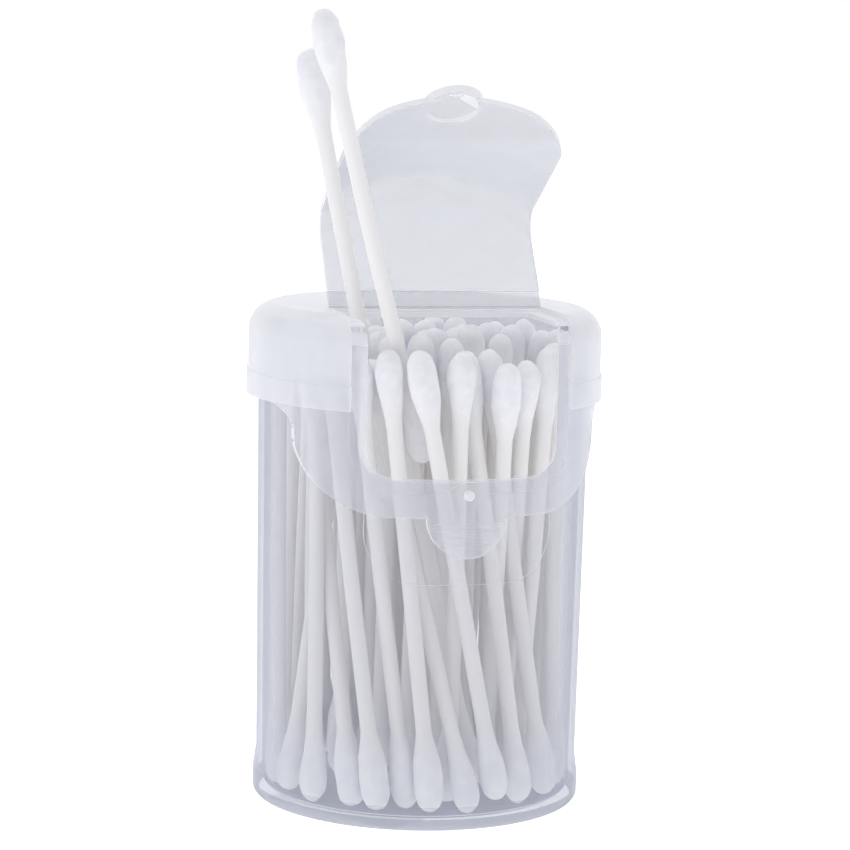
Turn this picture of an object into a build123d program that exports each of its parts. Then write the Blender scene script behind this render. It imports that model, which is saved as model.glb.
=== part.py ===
from build123d import *
import math
import os

# A round flip-top box of cotton swabs, lid open, two swabs drawn half out.
# Origin: centre of the base. +Z is up and the dispensing opening faces -Y.

# Driving dimensions, millimetres and degrees

# One swab: a paper stick with a cotton tip wound on each end
swab_length = 75.0
stick_diameter = 2.5
tip_diameter = 4.8
tip_length = 13.0
tip_nose_diameter = 2.4
tip_nose_length = 2.4
tip_belly_length = 5.6
swab_sides = 6

# How the swabs stand in the cup
swab_gap = 0.3
swab_floor_gap = 0.3
swab_lift = 2.2
crowd_samples = 50
first_look = 10
near_by = 9.0
rest_step = 0.1
lift_step = 0.618
ring_phase = 76.0
ring_tries = 5
ring_twists = (14.0, -12.0, 16.0, -9.0, 0.0)

# How the swabs that show in front lie, read from the photo. Each row gives the turn of the head from
# the front and how far it is in from the outer ring, the same two for the foot, and the lift.
front_lie = (
    (-29.8, -0.86, -8.3, -0.12, 0.55),
    (-17.7, -1.13, 19.8, -0.40, 1.70),
    (-0.3, 0.00, 4.7, 7.19, 0.10),
    (17.5, -1.52, 61.5, 11.26, 0.10),
    (31.3, 0.23, 83.7, 8.24, 0.10),
    (46.3, -0.06, 54.7, 5.77, 0.10),
    (21.9, 6.18, 51.2, -0.58, 0.33),
    (-44.2, 4.68, 7.5, -0.54, 0.10),
    (-41.9, 9.32, 25.0, 8.16, 2.60),
    (5.0, 5.31, 32.9, -0.13, 0.33),
    (-85.1, 2.40, -42.2, 1.11, 0.10),
    (-55.5, -0.85, -29.7, -0.16, 0.44),
    (-42.2, -0.92, -18.6, 3.51, 0.10),
    (-67.1, 0.83, -60.7, -0.15, 0.10),
    (-74.5, 8.47, -79.3, -0.32, 0.10),
    (-97.5, -1.07, -92.1, -0.33, 0.10),
    (59.2, 1.11, 69.9, -0.34, 0.10),
)

# The two swabs that are drawn half out and lean over the left of the mouth
left_swab_from_hinge = 4.5
left_swab_lean_side = 13.3
left_swab_lean_front = 5.8
left_swab_standing = 41.3
left_swab_rest_gap = 0.26
right_swab_from_left = 3.5
right_swab_from_hinge = 12.0
right_swab_lean_side = 16.1
right_swab_lean_front = 7.5
right_swab_standing = 47.4

# Cup
cup_base_radius = 26.7
cup_draft = 0.8
cup_wall = 1.0
floor_thickness = 1.5
floor_fillet = 1.5
headroom = 1.5
foot_proud = 0.55
foot_height = 4.0
foot_taper = 3.5
foot_fillet = 1.0
bead_drop = 7.0
bead_height = 2.0
bead_proud = 0.25
thumb_panel_half = 15.4
thumb_panel_drop = 42.2
thumb_panel_corner = 8.0
thumb_panel_depth = 0.35

# Cap
cap_wall = 1.55
cap_plate = 1.7
cap_fit = 0.1
shoulder = 4.5
skirt_drop = 14.9
lip_height = 4.0
lip_proud = 0.25
apron_wall = 0.9
apron_inset = 3.5
apron_drop = 31.3
apron_corner = 12.0
apron_blend = 4.0
tab_radius = 6.5
rib_count = 4
rib_pitch = 1.1
rib_height = 0.4
rib_proud = 0.2
rib_margin = 0.8
nub_drop = 27.6
nub_radius = 0.85
nub_proud = 0.7

# Mouth, and the seat that the closed lid lies in
mouth_half = 15.65
mouth_drop = 25.2
mouth_corner = 4.5
cup_mouth_margin = 0.6
hinge_land = 1.0
seat_half = 18.05
seat_drop = 27.45
seat_corner = 7.0
seat_depth = 0.9
nub_land_radius = 4.1
nub_land_rise = 1.95

# Lid and its living hinge
hinge_y = -5.8
hinge_radius = 0.4
hinge_fit = 0.1
lid_fit = 0.05
lid_side_fit = 0.1
web_length = 2.5
web_thickness = 0.45
thumb_disc_radius = 4.85
thumb_disc_wall = 0.75
thumb_disc_proud = 0.7
thumb_disc_rise = 2.75
socket_fit = 0.1
socket_depth = 0.35
lid_open = 123.0

# Sizes that follow from the driving dimensions
stick_radius = stick_diameter / 2
tip_radius = tip_diameter / 2
tip_nose_radius = tip_nose_diameter / 2
swab_floor = floor_thickness + swab_floor_gap
cup_rim_radius = cup_base_radius + cup_draft
cup_height = swab_floor + swab_length + swab_lift + headroom
cap_top = cup_height + cap_plate
bore_radius = cup_rim_radius + cap_fit
cap_radius = bore_radius + cap_wall
apron_radius = bore_radius + apron_wall
apron_half = apron_radius - apron_inset
skirt_bottom = cap_top - skirt_drop
apron_bottom = cap_top - apron_drop
nub_z = cap_top - nub_drop
mouth_bottom = cap_top - mouth_drop
seat_bottom = cap_top - seat_drop
lid_bottom = seat_bottom + lid_side_fit
lid_half = seat_half - lid_side_fit
lid_wall = seat_depth - lid_fit
bead_z = cup_height - bead_drop
hinge_axis = Axis((0, hinge_y, cap_top), (1, 0, 0))
front_reach = 2 * cap_radius


def cup_radius_at(height):
    """Outside radius of the drafted cup wall at a height above the base."""
    return cup_base_radius + (cup_rim_radius - cup_base_radius) * height / cup_height


def turned_section(radius, top, corner):
    """Sketch half a turned block: axis to radius, base to top, with a rounded shoulder."""
    with BuildSketch(Plane.XZ) as section:
        with Locations((radius / 2, top / 2)):
            Rectangle(radius, top)
        fillet(section.vertices().group_by(Axis.X)[-1].sort_by(Axis.Y)[-1], corner)
    return section.sketch


def front_panel(half, bottom, top, corner):
    """Sketch a front-view panel with rounded lower corners."""
    with BuildSketch(Plane.XZ) as panel:
        with Locations((0, (bottom + top) / 2)):
            Rectangle(2 * half, top - bottom)
        fillet(panel.vertices().group_by(Axis.Y)[0], corner)
    return panel.sketch


# Cup: one drafted moulding with a foot band, a snap bead and a cut-out behind the mouth.
with BuildPart() as cup:
    with BuildSketch(Plane.XZ):
        with BuildLine():
            Polyline(
                (0, 0),
                (cup_base_radius + foot_proud, 0),
                (cup_radius_at(foot_height) + foot_proud, foot_height),
                (cup_radius_at(foot_height + foot_taper), foot_height + foot_taper),
                (cup_radius_at(bead_z - bead_height / 2), bead_z - bead_height / 2),
                (cup_radius_at(bead_z) + bead_proud, bead_z),
                (cup_radius_at(bead_z + bead_height / 2), bead_z + bead_height / 2),
                (cup_rim_radius, cup_height),
                (0, cup_height),
                close=True,
            )
        make_face()
    revolve(axis=Axis.Z)
    fillet(cup.edges().filter_by(GeomType.CIRCLE).group_by(Axis.Z)[0], foot_fillet)
    with BuildSketch(Plane.XZ) as hollow:
        with BuildLine():
            Polyline(
                (0, floor_thickness),
                (cup_radius_at(floor_thickness) - cup_wall, floor_thickness),
                (cup_rim_radius - cup_wall, cup_height),
                (0, cup_height),
                close=True,
            )
        make_face()
        fillet(hollow.vertices().group_by(Axis.Y)[0].sort_by(Axis.X)[-1], floor_fillet)
    revolve(axis=Axis.Z, mode=Mode.SUBTRACT)
    cup_mouth = front_panel(
        mouth_half + cup_mouth_margin,
        mouth_bottom - cup_mouth_margin,
        cap_top,
        mouth_corner + cup_mouth_margin,
    )
    extrude(cup_mouth, amount=front_reach, mode=Mode.SUBTRACT)

# Thumb panel: a shallow relief in the cup front that the push tab can spring into.
with BuildPart() as thumb_relief:
    thumb_panel = front_panel(thumb_panel_half, cap_top - thumb_panel_drop, cap_top, thumb_panel_corner)
    extrude(thumb_panel, amount=front_reach)
    with BuildSketch(Plane.XZ):
        with BuildLine():
            Polyline(
                (0, 0),
                (cup_base_radius - thumb_panel_depth, 0),
                (cup_rim_radius - thumb_panel_depth, cup_height),
                (0, cap_top),
                close=True,
            )
        make_face()
    revolve(axis=Axis.Z, mode=Mode.SUBTRACT)

with BuildPart() as cup_finished:
    add(cup.part)
    add(thumb_relief.part, mode=Mode.SUBTRACT)
cup_finished.part.label = "cup"

# Grip ribs: plain bars across the push tab, cut to the tab's half-round outline.
with BuildPart() as grip_ribs:
    with BuildSketch(Plane.XZ):
        for rib in range(rib_count):
            with Locations((apron_radius, apron_bottom - (rib + 1) * rib_pitch)):
                Rectangle(2 * rib_proud, rib_height)
    revolve(axis=Axis.Z)
    with BuildSketch(Plane.XZ):
        with Locations((0, apron_bottom)):
            Circle(tab_radius - rib_margin)
    extrude(amount=front_reach, mode=Mode.INTERSECT)

# Lid seat: the sunk land round the mouth, less an island that carries the snap nub.
with BuildPart() as lid_seat:
    with BuildSketch(Plane.XZ.offset(-hinge_y)) as seat_outline:
        with Locations((0, (seat_bottom + cap_top) / 2)):
            Rectangle(2 * seat_half, cap_top - seat_bottom)
        fillet(seat_outline.vertices().group_by(Axis.Y)[0], seat_corner)
        with Locations((0, seat_bottom + nub_land_rise - nub_land_radius)):
            Circle(nub_land_radius, mode=Mode.SUBTRACT)
    extrude(amount=front_reach)
    seat_core = turned_section(cap_radius - seat_depth, cap_top - seat_depth, shoulder - seat_depth)
    revolve(seat_core, axis=Axis.Z, mode=Mode.SUBTRACT)

# Cap: skirt and top in one moulding, with a front apron that ends in the push tab.
with BuildPart() as cap:
    with BuildSketch(Plane.XZ):
        with Locations(((bore_radius + apron_radius) / 2, (apron_bottom + skirt_bottom) / 2)):
            Rectangle(apron_radius - bore_radius, apron_drop)
    revolve(axis=Axis.Z)
    with BuildSketch(Plane.XZ) as apron_outline:
        with Locations((0, (apron_bottom + skirt_bottom) / 2)):
            Rectangle(2 * apron_half, skirt_bottom - apron_bottom)
        fillet(apron_outline.vertices().group_by(Axis.Y)[0], apron_corner)
        with Locations((0, skirt_bottom + lip_height / 2)):
            Rectangle(2 * cap_radius, lip_height)
        skirt_line = apron_outline.vertices().group_by(Axis.Y)[-2].sort_by(Axis.X)
        fillet(skirt_line[1:-1], apron_blend)
        with Locations((0, apron_bottom)):
            Circle(tab_radius)
    extrude(amount=front_reach, mode=Mode.INTERSECT)
    with BuildSketch(Plane.XZ) as cap_section:
        with Locations((cap_radius / 2, (skirt_bottom + cap_top) / 2)):
            Rectangle(cap_radius, skirt_drop)
        fillet(cap_section.vertices().group_by(Axis.X)[-1].sort_by(Axis.Y)[-1], shoulder)
        with Locations((cap_radius, skirt_bottom + lip_height / 2)):
            Rectangle(2 * lip_proud, lip_height)
        with Locations((bore_radius / 2, cup_height / 2)):
            Rectangle(bore_radius, cup_height, mode=Mode.SUBTRACT)
        with Locations((bore_radius, bead_z)):
            Rectangle(2 * (bead_proud - cap_fit / 2), bead_height + 2 * cap_fit, mode=Mode.SUBTRACT)
    revolve(axis=Axis.Z)
    add(lid_seat.part, mode=Mode.SUBTRACT)
    with BuildSketch(Plane.XZ.offset(hinge_land - hinge_y)) as mouth:
        with Locations((0, (mouth_bottom + cap_top) / 2)):
            Rectangle(2 * mouth_half, cap_top - mouth_bottom)
        fillet(mouth.vertices().group_by(Axis.Y)[0], mouth_corner)
    extrude(amount=front_reach, mode=Mode.SUBTRACT)
    with BuildSketch(Plane.YZ.offset(-seat_half)):
        with Locations((hinge_y, cap_top)):
            Circle(hinge_radius + hinge_fit)
    extrude(amount=2 * seat_half, mode=Mode.SUBTRACT)
    with BuildSketch(Plane.XZ.offset(bore_radius)):
        with Locations((0, nub_z)):
            Circle(nub_radius)
    extrude(amount=apron_radius + nub_proud - bore_radius)
    fillet(cap.edges().filter_by(GeomType.CIRCLE).group_by(Axis.Y)[0], nub_proud / 2)
    add(grip_ribs.part)
cap.part.label = "cap"

# Flip lid: top panel and curved front flap in one shell, modelled shut and swung open.
# Its thumb disc is hollow and has a small socket for the snap nub.
with BuildPart() as flip_lid:
    revolve(turned_section(cap_radius, cap_top, shoulder), axis=Axis.Z)
    lid_inside = turned_section(cap_radius - lid_wall, cap_top - lid_wall, shoulder - lid_wall)
    revolve(lid_inside, axis=Axis.Z, mode=Mode.SUBTRACT)
    with BuildSketch(Plane.XZ.offset(-hinge_y)) as lid_outline:
        with Locations((0, (lid_bottom + cap_top) / 2)):
            Rectangle(2 * lid_half, cap_top - lid_bottom)
        fillet(lid_outline.vertices().group_by(Axis.Y)[0], seat_corner - lid_side_fit)
    extrude(amount=front_reach, mode=Mode.INTERSECT)
    with BuildSketch(Plane.XZ.offset(apron_radius + lid_side_fit)):
        with Locations((0, lid_bottom + thumb_disc_rise)):
            Circle(thumb_disc_radius)
    extrude(amount=cap_radius + thumb_disc_proud - apron_radius - lid_side_fit)
    with BuildSketch(Plane.XZ.offset(-hinge_y)):
        with Locations((0, lid_bottom + thumb_disc_rise)):
            Circle(thumb_disc_radius - thumb_disc_wall)
    extrude(
        amount=cap_radius + thumb_disc_proud - thumb_disc_wall + hinge_y,
        mode=Mode.SUBTRACT,
    )
    with BuildSketch(Plane.XZ.offset(cap_radius + thumb_disc_proud - thumb_disc_wall)):
        with Locations((0, nub_z)):
            Circle(nub_radius + socket_fit)
    extrude(amount=socket_depth, mode=Mode.SUBTRACT)
    with BuildSketch(Plane.YZ.offset(-lid_half)):
        with Locations((hinge_y - web_length / 2, cap_top - web_thickness - lid_wall / 2)):
            Rectangle(web_length, lid_wall)
    extrude(amount=2 * lid_half, mode=Mode.SUBTRACT)
    with BuildSketch(Plane.YZ.offset(-lid_half)):
        with Locations((hinge_y, cap_top)):
            Circle(hinge_radius)
    extrude(amount=2 * lid_half)
opened_lid = flip_lid.part.rotate(hinge_axis, -lid_open)
opened_lid.label = "flip_lid"

# One swab standing on the origin: a straight-sided turning with a nose, belly and neck at each end.
with BuildPart() as swab:
    half_profile = (
        (0.0, tip_nose_radius),
        (tip_nose_length, tip_radius),
        (tip_nose_length + tip_belly_length, tip_radius),
        (tip_length, stick_radius),
    )
    far_profile = tuple((swab_length - z, r) for z, r in reversed(half_profile))
    for height, radius in half_profile + far_profile:
        with BuildSketch(Plane.XY.offset(height)):
            RegularPolygon(radius, swab_sides)
    loft(ruled=True)


def swab_radius_at(along):
    """Radius of a swab at a distance along it."""
    from_end = min(along, swab_length - along)
    belly_end = tip_nose_length + tip_belly_length
    if from_end < tip_nose_length:
        return tip_nose_radius + (tip_radius - tip_nose_radius) * from_end / tip_nose_length
    if from_end < belly_end:
        return tip_radius
    if from_end < tip_length:
        return tip_radius - (tip_radius - stick_radius) * (from_end - belly_end) / (tip_length - belly_end)
    return stick_radius


def spare_room(one, other, sample):
    """How far one sample point of a swab is from touching another; each is a foot and a direction."""
    foot, direction = other
    along_one = swab_length * sample / crowd_samples
    point = one[0] + one[1] * along_one
    along_other = min(max((point - foot).dot(direction), 0.0), swab_length)
    apart = (foot + direction * along_other - point).length
    return apart - swab_radius_at(along_one) - swab_radius_at(along_other)


def crowds(one, other):
    """True where two swabs come closer than the gap; looks closely only at swabs that are near by."""
    first = min(spare_room(one, other, i) for i in range(0, crowd_samples + 1, first_look))
    if first > near_by:
        return False
    return min(spare_room(one, other, i) for i in range(crowd_samples + 1)) < swab_gap


def drawn_swab(x, y, lean_side, lean_front, standing):
    """Foot and direction of a swab that passes (x, y) at the cap top and stands above it."""
    rise = Vector(-math.tan(math.radians(lean_side)), -math.tan(math.radians(lean_front)), 1)
    direction = rise.normalized()
    tip = Vector(x, y, cap_top) + rise * standing
    return tip - direction * swab_length, direction


def resting_forward(swab_line, row):
    """A drawn swab moved forward until it rests on the tips of a row."""
    foot, direction = swab_line
    step = Vector(0, -rest_step, 0)
    while not any(crowds(other, (foot + step, direction)) for other in row):
        foot = foot + step
    return foot, direction


def standing_swab(head_turn, head_radius, foot_turn, foot_radius, lift):
    """Foot and direction of a swab that stands in the cup, from the places of its head and foot."""
    head = math.radians(head_turn)
    foot = math.radians(foot_turn)
    foot_point = Vector(foot_radius * math.sin(foot), -foot_radius * math.cos(foot), swab_floor + lift)
    head_point = Vector(head_radius * math.sin(head), -head_radius * math.cos(head), swab_floor + lift)
    rise = math.sqrt(swab_length**2 - (head_point - foot_point).length ** 2)
    return foot_point, (head_point + Vector(0, 0, rise) - foot_point).normalized()


def ring_swabs(radius, twist, ring, others):
    """A ring of swabs that lean the same way round, one at each place where it has room."""
    spacing = tip_diameter + swab_gap
    count = int(math.pi / math.asin(spacing / (2 * radius))) if radius > spacing / 2 else 1
    tries = count * ring_tries
    swabs = []
    for k in range(tries):
        turn = ring_phase + 360 * k / tries
        lift = swab_lift * ((len(swabs) + ring) * lift_step % 1)
        line = standing_swab(turn, radius, turn + twist, radius, lift)
        if not any(crowds(other, line) for other in others + swabs):
            swabs.append(line)
    return swabs


def placed(swabs):
    """Locations that stand the swab on each foot point along its direction."""
    return [Plane(origin=foot, z_dir=direction).location for foot, direction in swabs]


# The front of the bundle: the swabs as they lie in the photo, crossing one another.
outer_ring_radius = cup_base_radius - cup_wall - tip_radius - swab_gap
front = []
for head_turn, head_in, foot_turn, foot_in, lift in front_lie:
    head_radius = outer_ring_radius - head_in
    foot_radius = outer_ring_radius - foot_in
    front_line = standing_swab(head_turn, head_radius, foot_turn, foot_radius, lift)
    if not any(crowds(other, front_line) for other in front):
        front.append(front_line)

# The drawn swabs: the left one leans on the edge of the mouth, the right one on the front tips.
left_lean = math.radians(left_swab_lean_side)
left_edge_x = mouth_half - left_swab_rest_gap - stick_radius / math.cos(left_lean)
left_top_x = -left_edge_x - seat_depth * math.tan(left_lean)
left_drawn = drawn_swab(
    left_top_x,
    hinge_y - left_swab_from_hinge,
    left_swab_lean_side,
    left_swab_lean_front,
    left_swab_standing,
)
right_drawn = resting_forward(
    drawn_swab(
        left_top_x + right_swab_from_left,
        hinge_y - right_swab_from_hinge,
        right_swab_lean_side,
        right_swab_lean_front,
        right_swab_standing,
    ),
    front,
)

# The rest of the bundle: rings of swabs from the wall inwards, where the others leave room.
ring_names = ("outer_swabs", "second_ring_swabs", "third_ring_swabs", "inner_ring_swabs", "centre_swabs")
ring_step = tip_diameter + swab_gap
groups = {"front_swabs": front}
standing = front + [left_drawn, right_drawn]
for ring, name in enumerate(ring_names):
    ring_radius = max(outer_ring_radius - ring * ring_step, 0.0)
    groups[name] = ring_swabs(ring_radius, ring_twists[ring], ring, standing)
    standing = standing + groups[name]

# Export: shells first, then the swabs from the front and ring by ring inwards.
os.makedirs("parts", exist_ok=True)
export_step(cup_finished.part, "parts/cup.step")
export_step(cap.part, "parts/cap.step")
export_step(opened_lid, "parts/flip_lid.step")

for name, (foot, direction) in (("drawn_swab_left", left_drawn), ("drawn_swab_right", right_drawn)):
    with BuildPart() as drawn:
        with Locations(*placed([(foot, direction)])):
            add(swab.part)
    drawn.part.label = name
    export_step(drawn.part, f"parts/{name}.step")

for name, group in groups.items():
    with BuildPart() as bundle:
        with Locations(*placed(group)):
            add(swab.part)
    bundle.part.label = name
    export_step(bundle.part, f"parts/{name}.step")
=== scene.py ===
import math
import random

import bpy
import bmesh
import numpy as np
from mathutils import Matrix, Quaternion, Vector


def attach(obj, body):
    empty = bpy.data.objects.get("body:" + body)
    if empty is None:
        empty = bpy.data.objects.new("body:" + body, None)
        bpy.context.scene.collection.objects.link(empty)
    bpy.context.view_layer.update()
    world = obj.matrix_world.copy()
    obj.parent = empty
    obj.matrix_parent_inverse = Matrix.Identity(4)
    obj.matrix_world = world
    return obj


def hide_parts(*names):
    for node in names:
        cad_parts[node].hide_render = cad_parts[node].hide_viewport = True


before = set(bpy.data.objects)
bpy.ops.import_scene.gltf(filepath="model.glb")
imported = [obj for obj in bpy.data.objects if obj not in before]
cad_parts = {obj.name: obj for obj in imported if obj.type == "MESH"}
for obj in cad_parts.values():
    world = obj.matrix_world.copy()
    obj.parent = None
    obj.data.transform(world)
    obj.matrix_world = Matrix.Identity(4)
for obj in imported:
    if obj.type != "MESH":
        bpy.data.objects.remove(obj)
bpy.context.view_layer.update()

# Cup: a drafted round beaker, injection moulded in one piece from milky translucent polypropylene.
# It stands on a slightly thicker foot band, and its front wall is cut away behind the cap's mouth.
# Its cut edges and corners gather light. That light is painted into them as a whiter, denser copy of
# the wall's plastic, so they show as brighter lines than the wall.
mm = 0.001
doubles_reach = 0.001 * mm
flat_enough = math.radians(0.4)
moulded_corner = math.radians(32)

# Shares of a face's direction that make it an edge, a level face, an outer face or the cup's floor.
edge_share = 0.45
level_share = 0.6
outward_share = 0.5
floor_share = 0.9

cup_floor_radius = 25.4 * mm
cup_floor_top = 1.505 * mm
solid_foot_top = 2.0 * mm
foot_band_top = 4.0 * mm
scatter_reach = 2.0 * mm
plain_roughness = 0.29
scuffed_roughness = 0.45
grain_depth = 0.05 * mm
cloud_veil = 0.06
edge_on_power = 3


def moulding(node, name):
    """A moulded shell on the lines of its CAD node, cleaned and smooth up to its moulded corners."""
    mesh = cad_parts[node].data.copy()
    mesh.name = name
    mesh.materials.clear()
    piece = bpy.data.objects.new(name, mesh)
    bpy.context.scene.collection.objects.link(piece)
    bpy.ops.object.select_all(action="DESELECT")
    piece.select_set(True)
    bpy.context.view_layer.objects.active = piece
    bpy.ops.mesh.customdata_custom_splitnormals_clear()
    bpy.ops.object.mode_set(mode="EDIT")
    bpy.ops.mesh.select_all(action="SELECT")
    bpy.ops.mesh.remove_doubles(threshold=doubles_reach)
    bpy.ops.mesh.dissolve_limited(angle_limit=flat_enough)
    bpy.ops.object.mode_set(mode="OBJECT")
    bpy.ops.object.shade_smooth_by_angle(angle=moulded_corner)
    even = piece.modifiers.new("even_shading", "WEIGHTED_NORMAL")
    even.keep_sharp = True
    bpy.ops.object.modifier_apply(modifier=even.name)
    return piece


def across(point, normal):
    """Distance from the axis, and how far a face looks outwards, sideways and upwards."""
    radius = math.hypot(point.x, point.y)
    outward = Vector((point.x, point.y, 0)).normalized()
    sideways = Vector((-outward.y, outward.x, 0))
    return radius, normal.dot(outward), abs(normal.dot(sideways)), normal.z


def moulded_surface():
    """Clouding, grain and hairline scuffs of moulded polypropylene."""
    group = bpy.data.node_groups.new("moulded_surface", "ShaderNodeTree")
    group.interface.new_socket("Cloud size", in_out="INPUT", socket_type="NodeSocketFloat")
    group.interface.new_socket("Grain size", in_out="INPUT", socket_type="NodeSocketFloat")
    group.interface.new_socket("Cloud", in_out="OUTPUT", socket_type="NodeSocketFloat")
    group.interface.new_socket("Grain", in_out="OUTPUT", socket_type="NodeSocketFloat")
    group.interface.new_socket("Scuff", in_out="OUTPUT", socket_type="NodeSocketFloat")
    nodes = group.nodes
    links = group.links
    inputs = nodes.new("NodeGroupInput")
    outputs = nodes.new("NodeGroupOutput")
    place = nodes.new("ShaderNodeTexCoord")
    cloud = nodes.new("ShaderNodeTexNoise")
    cloud.inputs["Detail"].default_value = 3
    links.new(place.outputs["Object"], cloud.inputs["Vector"])
    links.new(inputs.outputs["Cloud size"], cloud.inputs["Scale"])
    links.new(cloud.outputs["Fac"], outputs.inputs["Cloud"])
    grain = nodes.new("ShaderNodeTexNoise")
    grain.inputs["Detail"].default_value = 2
    links.new(place.outputs["Object"], grain.inputs["Vector"])
    links.new(inputs.outputs["Grain size"], grain.inputs["Scale"])
    links.new(grain.outputs["Fac"], outputs.inputs["Grain"])
    drawn_out = nodes.new("ShaderNodeMapping")
    drawn_out.inputs["Scale"].default_value = (1, 1, 0.04)
    links.new(place.outputs["Object"], drawn_out.inputs["Vector"])
    hairline = nodes.new("ShaderNodeTexNoise")
    hairline.inputs["Scale"].default_value = 900
    hairline.inputs["Detail"].default_value = 2
    links.new(drawn_out.outputs["Vector"], hairline.inputs["Vector"])
    sparse = nodes.new("ShaderNodeMapRange")
    sparse.inputs["From Min"].default_value = 0.62
    sparse.inputs["From Max"].default_value = 0.75
    links.new(hairline.outputs["Fac"], sparse.inputs["Value"])
    links.new(sparse.outputs["Result"], outputs.inputs["Scuff"])
    return group


plastic_surface = moulded_surface()


def follow(nodes, links, source, low, high):
    """A value that runs from low to high with a mask."""
    span = nodes.new("ShaderNodeMapRange")
    span.inputs["To Min"].default_value = low
    span.inputs["To Max"].default_value = high
    links.new(source, span.inputs["Value"])
    return span.outputs["Result"]


def milky_plastic(name, deep, bright, veil, rim_veil, stopped_light, scatter):
    """Translucent polypropylene: a thin veil, thicker where the wall is seen edge on.
    Most of the light that it scatters goes on through, so it stops little of the light inside."""
    material = bpy.data.materials.new(name)
    material.use_nodes = True
    nodes = material.node_tree.nodes
    links = material.node_tree.links
    shader = nodes["Principled BSDF"]
    shader.inputs["Specular IOR Level"].default_value = 0.25
    shader.inputs["Subsurface Weight"].default_value = scatter
    shader.inputs["Subsurface Radius"].default_value = (1.0, 1.0, 1.0)
    shader.inputs["Subsurface Scale"].default_value = scatter_reach
    surface = nodes.new("ShaderNodeGroup")
    surface.node_tree = plastic_surface
    surface.inputs["Cloud size"].default_value = 90
    surface.inputs["Grain size"].default_value = 2600
    tone = nodes.new("ShaderNodeMix")
    tone.data_type = "RGBA"
    tone.inputs[6].default_value = (*deep, 1)
    tone.inputs[7].default_value = (*bright, 1)
    links.new(surface.outputs["Cloud"], tone.inputs["Factor"])
    links.new(tone.outputs[2], shader.inputs["Base Color"])
    scuffs = follow(nodes, links, surface.outputs["Scuff"], plain_roughness, scuffed_roughness)
    links.new(scuffs, shader.inputs["Roughness"])
    grain = nodes.new("ShaderNodeBump")
    grain.inputs["Strength"].default_value = 0.12
    grain.inputs["Distance"].default_value = grain_depth
    links.new(surface.outputs["Grain"], grain.inputs["Height"])
    links.new(grain.outputs["Normal"], shader.inputs["Normal"])
    edge_on = nodes.new("ShaderNodeLayerWeight")
    edge_on.inputs["Blend"].default_value = 0.5
    grazing = nodes.new("ShaderNodeMath")
    grazing.operation = "POWER"
    grazing.inputs[1].default_value = edge_on_power
    links.new(edge_on.outputs["Facing"], grazing.inputs[0])
    veil_span = follow(nodes, links, grazing.outputs["Value"], veil, rim_veil)
    cloudy = nodes.new("ShaderNodeMath")
    cloudy.operation = "MULTIPLY_ADD"
    cloudy.inputs[1].default_value = cloud_veil
    cloudy.use_clamp = True
    links.new(surface.outputs["Cloud"], cloudy.inputs[0])
    links.new(veil_span, cloudy.inputs[2])
    ray_kind = nodes.new("ShaderNodeLightPath")
    light_ray = nodes.new("ShaderNodeMath")
    light_ray.operation = "MAXIMUM"
    links.new(ray_kind.outputs["Is Shadow Ray"], light_ray.inputs[0])
    links.new(ray_kind.outputs["Is Diffuse Ray"], light_ray.inputs[1])
    stopped = nodes.new("ShaderNodeMath")
    stopped.operation = "MULTIPLY"
    links.new(cloudy.outputs["Value"], stopped.inputs[0])
    links.new(follow(nodes, links, light_ray.outputs["Value"], 1.0, stopped_light), stopped.inputs[1])
    links.new(stopped.outputs["Value"], shader.inputs["Alpha"])
    return material


def dress(piece, materials, kind):
    """Gives each face of a moulding the material that kind picks for its place and direction."""
    for material in materials:
        piece.data.materials.append(material)
    for face in piece.data.polygons:
        face.material_index = kind(face.center, face.normal)


def cup_kind(point, normal):
    """1 on the rim, the cut-out's edges and the thumb panel's step, which get a painted highlight,
    2 on the solid floor and foot, which get painted shade, 3 on the foot band above them, else 0."""
    radius, outward, sideways, upward = across(point, normal)
    if point.z < solid_foot_top or upward > floor_share and point.z < cup_floor_top:
        return 2
    if point.z < foot_band_top and outward > outward_share:
        return 3
    return int(sideways > edge_share or abs(upward) > level_share and radius > cup_floor_radius)


cup_wall = milky_plastic(
    "cup_wall", (0.46, 0.48, 0.57), (0.52, 0.54, 0.63),
    veil=0.13, rim_veil=0.95, stopped_light=0.10, scatter=0.0,
)
# Painted highlight: the edges get a near-white copy of the wall's plastic, standing in for the light
# that gathers in them.
cup_edge_highlight = milky_plastic(
    "cup_edge_highlight", (0.92, 0.925, 0.96), (0.97, 0.97, 0.99),
    veil=0.80, rim_veil=1.00, stopped_light=0.12, scatter=0.0,
)
# Painted shade: the solid floor and foot get a darker, denser copy of the wall's plastic, standing in
# for the shade that falls on them.
cup_floor_painted_shade = milky_plastic(
    "cup_floor_painted_shade", (0.36, 0.38, 0.46), (0.42, 0.44, 0.52),
    veil=0.72, rim_veil=1.00, stopped_light=0.10, scatter=0.0,
)
cup_foot = milky_plastic(
    "cup_foot", (0.44, 0.46, 0.55), (0.50, 0.52, 0.61),
    veil=0.32, rim_veil=1.00, stopped_light=0.08, scatter=0.0,
)
cup = moulding("cup", "cup_moulding")

# The solid part of the foot is marked off from the band above it.
bpy.ops.object.mode_set(mode="EDIT")
bpy.ops.mesh.select_all(action="SELECT")
bpy.ops.mesh.bisect(plane_co=(0, 0, solid_foot_top), plane_no=(0, 0, 1))
bpy.ops.object.mode_set(mode="OBJECT")
dress(cup, (cup_wall, cup_edge_highlight, cup_floor_painted_shade, cup_foot), cup_kind)
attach(cup, "box")
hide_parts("cup")

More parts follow.
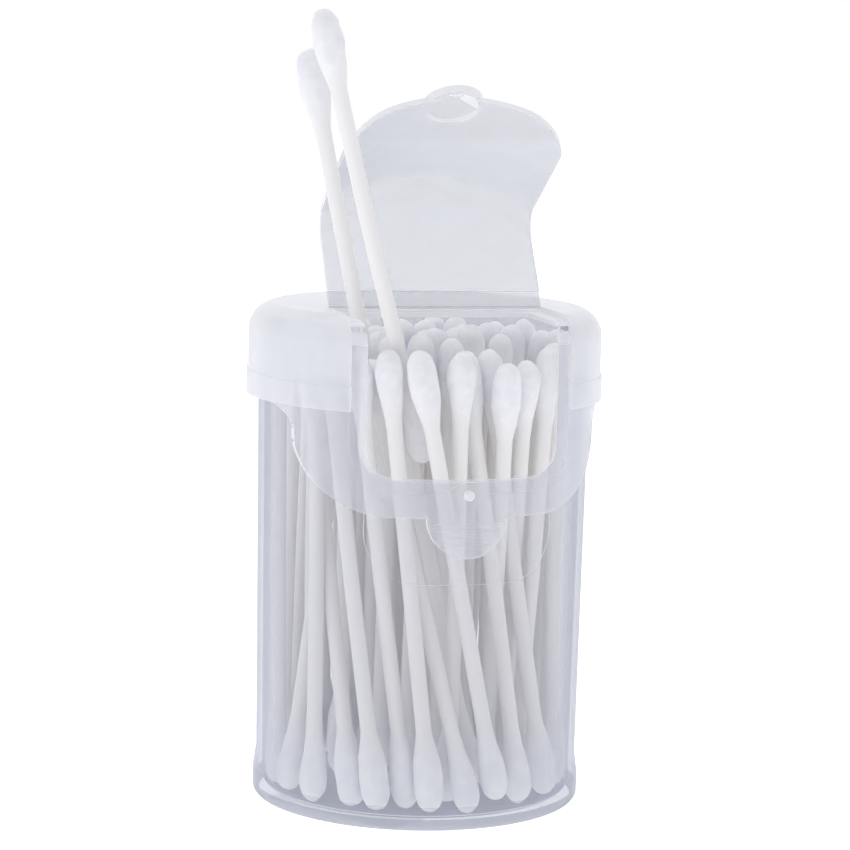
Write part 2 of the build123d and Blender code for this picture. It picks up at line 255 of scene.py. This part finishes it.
# Cotton swabs: loose white paper sticks with raw cotton wound on both ends, standing in the cup.
# A tip is a soft pear: a blunt nose, a belly and a long thin neck that runs out on the stick.
swab_length = 75 * mm
stick_radius = 1.25 * mm
stick_bow = 0.35 * mm
swab_sides = 18
cotton_reach = 13 * mm
cotton_run_out = 7 * mm
pear_tip = (
    (0.05, 0.45), (0.3, 0.98), (0.75, 1.48), (1.35, 1.86), (2.1, 2.13), (3.0, 2.28), (4.0, 2.31),
    (5.2, 2.22), (6.6, 2.03), (8.2, 1.78), (9.8, 1.55), (11.4, 1.38), (13.0, 1.27),
)
full_tip = (
    (0.05, 0.5), (0.3, 1.08), (0.75, 1.58), (1.35, 1.94), (2.1, 2.17), (3.0, 2.29), (4.2, 2.36),
    (5.6, 2.39), (7.0, 2.33), (8.6, 2.12), (10.2, 1.80), (11.7, 1.48), (13.0, 1.28),
)
cotton_deep = (0.87, 0.87, 0.925)
cotton_light = (0.96, 0.96, 0.99)
paper_white = (0.89, 0.875, 0.86)
cotton_scatter = 1.2 * mm
fibre_depth = 0.12 * mm
fibre_height = 0.45
paper_relief = 0.15
lump_height = 0.5 * mm
lump_size = 2.2 * mm
solid_doubles_reach = 0.02 * mm
swab_seed = 33


def turned_swab(name, lower_tip, upper_tip):
    """One swab along +Z, drawn up ring by ring from its lower end and slightly bowed."""
    steps = [(z * mm, r * mm) for z, r in lower_tip]
    steps.append((swab_length / 2, stick_radius))
    steps.extend((swab_length - z * mm, r * mm) for z, r in reversed(upper_tip))
    bpy.ops.object.select_all(action="DESELECT")
    bpy.ops.mesh.primitive_circle_add(
        vertices=swab_sides, radius=steps[0][1], fill_type="NGON", location=(0, 0, steps[0][0])
    )
    piece = bpy.context.object
    piece.name = name
    bpy.ops.object.transform_apply()
    bpy.ops.object.mode_set(mode="EDIT")
    bpy.ops.mesh.select_all(action="SELECT")
    for (below, old), (above, new) in zip(steps, steps[1:]):
        bpy.ops.mesh.extrude_region_move(TRANSFORM_OT_translate={"value": (0, 0, above - below)})
        bpy.ops.transform.resize(value=(new / old, new / old, 1), center_override=(0, 0, above))
    bpy.ops.mesh.select_all(action="SELECT")
    bpy.ops.mesh.normals_make_consistent(inside=False)
    bpy.ops.object.mode_set(mode="OBJECT")
    for vert in piece.data.vertices:
        vert.co.x += stick_bow * math.sin(math.pi * vert.co.z / swab_length)
    bpy.ops.object.shade_smooth()
    return piece


def cotton_fibres():
    """Wound fibre streaks and soft lumps of raw cotton."""
    group = bpy.data.node_groups.new("cotton_fibres", "ShaderNodeTree")
    group.interface.new_socket("Fibre size", in_out="INPUT", socket_type="NodeSocketFloat")
    group.interface.new_socket("Fibre", in_out="OUTPUT", socket_type="NodeSocketFloat")
    group.interface.new_socket("Lump", in_out="OUTPUT", socket_type="NodeSocketFloat")
    nodes = group.nodes
    links = group.links
    inputs = nodes.new("NodeGroupInput")
    outputs = nodes.new("NodeGroupOutput")
    place = nodes.new("ShaderNodeTexCoord")
    combed = nodes.new("ShaderNodeMapping")
    combed.inputs["Scale"].default_value = (1, 1, 0.28)
    combed.inputs["Rotation"].default_value = (0.2, 0.3, 0)
    links.new(place.outputs["Object"], combed.inputs["Vector"])
    fibre = nodes.new("ShaderNodeTexNoise")
    fibre.inputs["Detail"].default_value = 6
    fibre.inputs["Roughness"].default_value = 0.65
    fibre.inputs["Distortion"].default_value = 0.6
    links.new(combed.outputs["Vector"], fibre.inputs["Vector"])
    links.new(inputs.outputs["Fibre size"], fibre.inputs["Scale"])
    links.new(fibre.outputs["Fac"], outputs.inputs["Fibre"])
    lump = nodes.new("ShaderNodeTexNoise")
    lump.inputs["Scale"].default_value = 420
    lump.inputs["Detail"].default_value = 2
    links.new(place.outputs["Object"], lump.inputs["Vector"])
    links.new(lump.outputs["Fac"], outputs.inputs["Lump"])
    return group


fibres = cotton_fibres()


def wound_cotton():
    """Matt white cotton that runs out on the paper of the stick, by how thickly it is wound."""
    material = bpy.data.materials.new("cotton_on_paper")
    material.use_nodes = True
    nodes = material.node_tree.nodes
    links = material.node_tree.links
    shader = nodes["Principled BSDF"]
    shader.inputs["Roughness"].default_value = 0.95
    shader.inputs["Specular IOR Level"].default_value = 0.15
    shader.inputs["Sheen Weight"].default_value = 0.15
    shader.inputs["Sheen Roughness"].default_value = 0.6
    shader.inputs["Subsurface Weight"].default_value = 0.7
    shader.inputs["Subsurface Radius"].default_value = (1.0, 1.0, 1.0)
    shader.inputs["Subsurface Scale"].default_value = cotton_scatter
    wound = nodes.new("ShaderNodeGroup")
    wound.node_tree = fibres
    wound.inputs["Fibre size"].default_value = 1500
    thickness = nodes.new("ShaderNodeAttribute")
    thickness.attribute_name = "cotton_thickness"
    tone = nodes.new("ShaderNodeMix")
    tone.data_type = "RGBA"
    tone.inputs[6].default_value = (*cotton_deep, 1)
    tone.inputs[7].default_value = (*cotton_light, 1)
    patches = nodes.new("ShaderNodeMapRange")
    patches.inputs["From Min"].default_value = 0.55
    patches.inputs["From Max"].default_value = 0.90
    links.new(patches.outputs["Result"], tone.inputs["Factor"])
    run_out = nodes.new("ShaderNodeMix")
    run_out.data_type = "RGBA"
    run_out.inputs[6].default_value = (*paper_white, 1)
    links.new(thickness.outputs["Fac"], run_out.inputs["Factor"])
    links.new(tone.outputs[2], run_out.inputs[7])
    links.new(run_out.outputs[2], shader.inputs["Base Color"])
    height = nodes.new("ShaderNodeMath")
    height.operation = "MULTIPLY_ADD"
    height.inputs[1].default_value = fibre_height
    links.new(wound.outputs["Fibre"], height.inputs[0])
    links.new(wound.outputs["Lump"], height.inputs[2])
    links.new(height.outputs["Value"], patches.inputs["Value"])
    relief = nodes.new("ShaderNodeMath")
    relief.operation = "MULTIPLY"
    links.new(height.outputs["Value"], relief.inputs[0])
    links.new(follow(nodes, links, thickness.outputs["Fac"], paper_relief, 1.0), relief.inputs[1])
    bump = nodes.new("ShaderNodeBump")
    bump.inputs["Strength"].default_value = 0.6
    bump.inputs["Distance"].default_value = fibre_depth
    links.new(relief.outputs["Value"], bump.inputs["Height"])
    links.new(bump.outputs["Normal"], shader.inputs["Normal"])
    return material


cotton = wound_cotton()


def swab_lines(node):
    """Foot and head of each swab solid in a CAD node, from the middle and long axis of its skin."""
    solid = bmesh.new()
    solid.from_mesh(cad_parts[node].data)
    bmesh.ops.remove_doubles(solid, verts=solid.verts, dist=solid_doubles_reach)
    lines = []
    waiting = set(solid.faces)
    while waiting:
        reached = [min(waiting, key=lambda face: tuple(face.calc_center_median()))]
        skin = set(reached)
        while reached:
            for edge in reached.pop().edges:
                fresh = [face for face in edge.link_faces if face not in skin]
                skin.update(fresh)
                reached.extend(fresh)
        waiting -= skin
        corners = np.array([[vert.co for vert in face.verts] for face in skin])
        areas = np.array([face.calc_area() for face in skin])
        middle = (areas[:, None] * corners.mean(1)).sum(0) / areas.sum()
        arms = corners - middle
        sums = arms.sum(1)
        spread = np.einsum("n,ni,nj->ij", areas, sums, sums)
        spread += np.einsum("n,nki,nkj->ij", areas, arms, arms)
        along = Vector(np.linalg.eigh(spread)[1][:, -1])
        half = along * math.copysign(swab_length / 2, along.z)
        lines.append((Vector(middle) - half, Vector(middle) + half))
    solid.free()
    return sorted(lines, key=lambda line: math.atan2(line[1].y, line[1].x))


def stand_swabs(node, name, forms, turn):
    """Copies the turned swabs to each solid of a CAD node and joins them as one piece."""
    copies = []
    for foot, head in swab_lines(node):
        form = forms[turn.randrange(len(forms))]
        along = (head - foot).normalized()
        upright = along.to_track_quat("Z", "Y")
        spun = upright @ Quaternion((0, 0, 1), turn.uniform(0, 2 * math.pi))
        copy = form.copy()
        copy.data = form.data.copy()
        bpy.context.scene.collection.objects.link(copy)
        copy.data.transform(Matrix.Translation(foot) @ spun.to_matrix().to_4x4())
        copies.append(copy)
    bpy.ops.object.select_all(action="DESELECT")
    for copy in copies:
        copy.select_set(True)
    bpy.context.view_layer.objects.active = copies[0]
    if len(copies) > 1:
        bpy.ops.object.join()
    piece = bpy.context.object
    piece.name = name
    piece.data.name = name
    lumps = piece.modifiers.new("cotton_lumps", "DISPLACE")
    lumps.texture = cotton_lumps
    lumps.texture_coords = "LOCAL"
    lumps.strength = lump_height
    lumps.mid_level = 0.5
    lumps.vertex_group = "cotton"
    bpy.ops.object.modifier_apply(modifier=lumps.name)
    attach(piece, "box")
    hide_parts(node)


swab_forms = [
    turned_swab("pear_swab", pear_tip, pear_tip),
    turned_swab("mixed_swab", pear_tip, full_tip),
    turned_swab("full_swab", full_tip, pear_tip),
]
cotton_lumps = bpy.data.textures.new("cotton_lumps", "CLOUDS")
cotton_lumps.noise_scale = lump_size
cotton_lumps.noise_depth = 1
for form in swab_forms:
    from_end = [min(vert.co.z, swab_length - vert.co.z) for vert in form.data.vertices]
    wound = [max(0.0, min(1.0, (cotton_reach - along) / cotton_run_out)) for along in from_end]
    soft = form.vertex_groups.new(name="cotton")
    for index, weight in enumerate(wound):
        soft.add([index], weight, "REPLACE")
    thickness = form.data.attributes.new("cotton_thickness", "FLOAT", "POINT")
    thickness.data.foreach_set("value", wound)
    form.data.materials.append(cotton)
lie = random.Random(swab_seed)
stand_swabs("front_swabs", "front_swabs_in_mouth", swab_forms, lie)
stand_swabs("outer_swabs", "outer_ring_of_swabs", swab_forms, lie)
stand_swabs("second_ring_swabs", "second_ring_of_swabs", swab_forms, lie)
stand_swabs("third_ring_swabs", "third_ring_of_swabs", swab_forms, lie)
stand_swabs("inner_ring_swabs", "inner_ring_of_swabs", swab_forms, lie)
stand_swabs("centre_swabs", "middle_swab", swab_forms, lie)
stand_swabs("drawn_swab_left", "left_standing_swab", swab_forms[1:2], lie)
stand_swabs("drawn_swab_right", "right_standing_swab", swab_forms[1:2], lie)
for form in swab_forms:
    bpy.data.objects.remove(form)

# Cap: a push-fit moulding of the same plastic over the cup's rim, with a rounded shoulder and a lip.
# The mouth runs through its top and front, with a sunk seat round it, and the apron below ends in a
# ribbed push tab.
cap_top = 82.2 * mm
shoulder_start = 77.7 * mm
plate_radius = 24.6 * mm
skirt_bottom = 67.2 * mm
seat_half = 18.05 * mm
nub_height = 54.6 * mm
nub_radius = 0.95 * mm
nub_root = 28.6 * mm


def cap_edge(point, normal):
    """True on the mouth's and seat's edges, the lip's and apron's ends, the tab's ribs and the nub."""
    radius, _, sideways, upward = across(point, normal)
    from_nub = math.hypot(point.x, point.z - nub_height)
    if sideways > edge_share or from_nub < nub_radius and radius > nub_root:
        return True
    if point.z < shoulder_start:
        return abs(upward) > level_share
    return radius < plate_radius and abs(upward) < level_share


def cap_kind(point, normal):
    """2 on the edges, which get a painted highlight, 1 on the thin apron and seat, and 0 on the thick
    skirt, shoulder and top.
    """
    if cap_edge(point, normal):
        return 2
    in_seat = point.y < 0 and abs(point.x) < seat_half and point.z < shoulder_start
    return int(point.z < skirt_bottom or in_seat)


cap_wall = milky_plastic(
    "cap_wall", (0.85, 0.855, 0.905), (0.91, 0.915, 0.96),
    veil=0.48, rim_veil=0.95, stopped_light=0.06, scatter=0.6,
)
cap_thin = milky_plastic(
    "cap_thin_wall", (0.78, 0.79, 0.87), (0.84, 0.85, 0.93),
    veil=0.20, rim_veil=0.90, stopped_light=0.10, scatter=0.5,
)
# Painted highlight: the edges of the cap and lid get a near-white copy of the cap's plastic, standing
# in for the light that gathers in them.
cap_edge_highlight = milky_plastic(
    "cap_edge_highlight", (0.93, 0.93, 0.96), (0.97, 0.97, 0.985),
    veil=0.75, rim_veil=1.00, stopped_light=0.12, scatter=0.0,
)
cap = moulding("cap", "cap_moulding")
dress(cap, (cap_wall, cap_thin, cap_edge_highlight), cap_kind)
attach(cap, "box")
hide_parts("cap")

# Flip lid: a thin curved shell of the cap's plastic, top panel and front flap in one, standing open.
# It swings on a living hinge across the cap's top and has a round hollow thumb disc on its free edge.
hinge_line = Vector((0, -5.8 * mm, cap_top))
lid_open = math.radians(123)
shut = Matrix.Rotation(lid_open, 4, "X")


def lid_kind(point, normal):
    """1 on the lid's rim, its web and its thumb disc's wall, which get a painted highlight, judged with
    the lid shut, else 0.
    """
    shut_point = hinge_line + shut @ (point - hinge_line)
    return int(cap_edge(shut_point, shut.to_3x3() @ normal))


lid_wall = milky_plastic(
    "lid_wall", (0.54, 0.55, 0.60), (0.60, 0.61, 0.66),
    veil=0.32, rim_veil=0.90, stopped_light=0.12, scatter=1.0,
)
lid = moulding("flip_lid", "lid_moulding")
dress(lid, (lid_wall, cap_edge_highlight), lid_kind)
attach(lid, "lid")
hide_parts("flip_lid")

# Floor, light and camera: a white table in a white tent, with soft light from the sides, top and front.
# The camera stands where the photograph was taken from, a little left of the front and just above.
floor_size = 6.0
floor_colour = (0.93, 0.935, 0.95)
floor_glow = 0.42
floor_glow_seen = 0.6
tent_colour = (0.95, 0.96, 1.0)
tent_strength = 0.50
light_aim = Vector((0, 0, 0.06))
camera_place = Vector((-126.101, -460.570, 125.989)) * mm
camera_aim = Vector((0.368, 0.0, 61.916)) * mm
camera_roll = math.radians(1.383)
camera_lens = 122.852

bpy.ops.object.select_all(action="DESELECT")
bpy.ops.mesh.primitive_plane_add(size=floor_size, location=(0, 0, 0))
floor = bpy.context.object
floor.name = "floor"
table = bpy.data.materials.new("white_table")
table.use_nodes = True
table_nodes = table.node_tree.nodes
table_links = table.node_tree.links
table_shader = table_nodes["Principled BSDF"]
table_shader.inputs["Base Color"].default_value = (*floor_colour, 1)
table_shader.inputs["Roughness"].default_value = 0.9
table_shader.inputs["Emission Color"].default_value = (1, 1, 1, 1)
seen = table_nodes.new("ShaderNodeLightPath")
lift = follow(table_nodes, table_links, seen.outputs["Is Camera Ray"], floor_glow, floor_glow_seen)
table_links.new(lift, table_shader.inputs["Emission Strength"])
floor.data.materials.append(table)

world = bpy.data.worlds.new("white_tent")
bpy.context.scene.world = world
world.use_nodes = True
sky_nodes = world.node_tree.nodes
sky_links = world.node_tree.links
sky_nodes.clear()
sky_end = sky_nodes.new("ShaderNodeOutputWorld")
tent = sky_nodes.new("ShaderNodeBackground")
tent.inputs["Color"].default_value = (*tent_colour, 1)
tent.inputs["Strength"].default_value = tent_strength
backdrop = sky_nodes.new("ShaderNodeBackground")
backdrop.inputs["Color"].default_value = (1, 1, 1, 1)
backdrop.inputs["Strength"].default_value = 1.0
ray = sky_nodes.new("ShaderNodeLightPath")
camera_or_gloss = sky_nodes.new("ShaderNodeMath")
camera_or_gloss.operation = "MAXIMUM"
sky_links.new(ray.outputs["Is Camera Ray"], camera_or_gloss.inputs[0])
sky_links.new(ray.outputs["Is Glossy Ray"], camera_or_gloss.inputs[1])
or_glass = sky_nodes.new("ShaderNodeMath")
or_glass.operation = "MAXIMUM"
sky_links.new(camera_or_gloss.outputs["Value"], or_glass.inputs[0])
sky_links.new(ray.outputs["Is Transmission Ray"], or_glass.inputs[1])
white_seen = sky_nodes.new("ShaderNodeMixShader")
sky_links.new(or_glass.outputs["Value"], white_seen.inputs["Fac"])
sky_links.new(tent.outputs["Background"], white_seen.inputs[1])
sky_links.new(backdrop.outputs["Background"], white_seen.inputs[2])
sky_links.new(white_seen.outputs["Shader"], sky_end.inputs["Surface"])


def softbox(name, place, size, power):
    """A square soft light that looks at the middle of the box."""
    lamp = bpy.data.lights.new(name, "AREA")
    lamp.shape = "SQUARE"
    lamp.size = size
    lamp.energy = power
    lamp.color = tent_colour
    light = bpy.data.objects.new(name, lamp)
    bpy.context.scene.collection.objects.link(light)
    light.location = place
    light.rotation_euler = (light_aim - Vector(place)).to_track_quat("-Z", "Y").to_euler()


softbox("left_softbox", (-0.80, -0.10, 0.40), size=0.6, power=0.9)
softbox("right_softbox", (0.80, -0.10, 0.40), size=0.6, power=0.35)
softbox("top_softbox", (0, 0.08, 0.85), size=0.8, power=2.5)
softbox("front_softbox", (-0.10, -0.90, 0.45), size=0.8, power=0.25)

camera_data = bpy.data.cameras.new("camera")
camera_data.lens = camera_lens
camera_data.sensor_width = 36
camera_data.clip_start = 0.01
camera = bpy.data.objects.new("camera", camera_data)
bpy.context.scene.collection.objects.link(camera)
look = (camera_aim - camera_place).to_track_quat("-Z", "Y")
camera.rotation_mode = "QUATERNION"
camera.rotation_quaternion = look @ Quaternion((0, 0, 1), camera_roll)
camera.location = camera_place
bpy.context.scene.camera = camera
bpy.context.scene.view_settings.view_transform = "Standard"
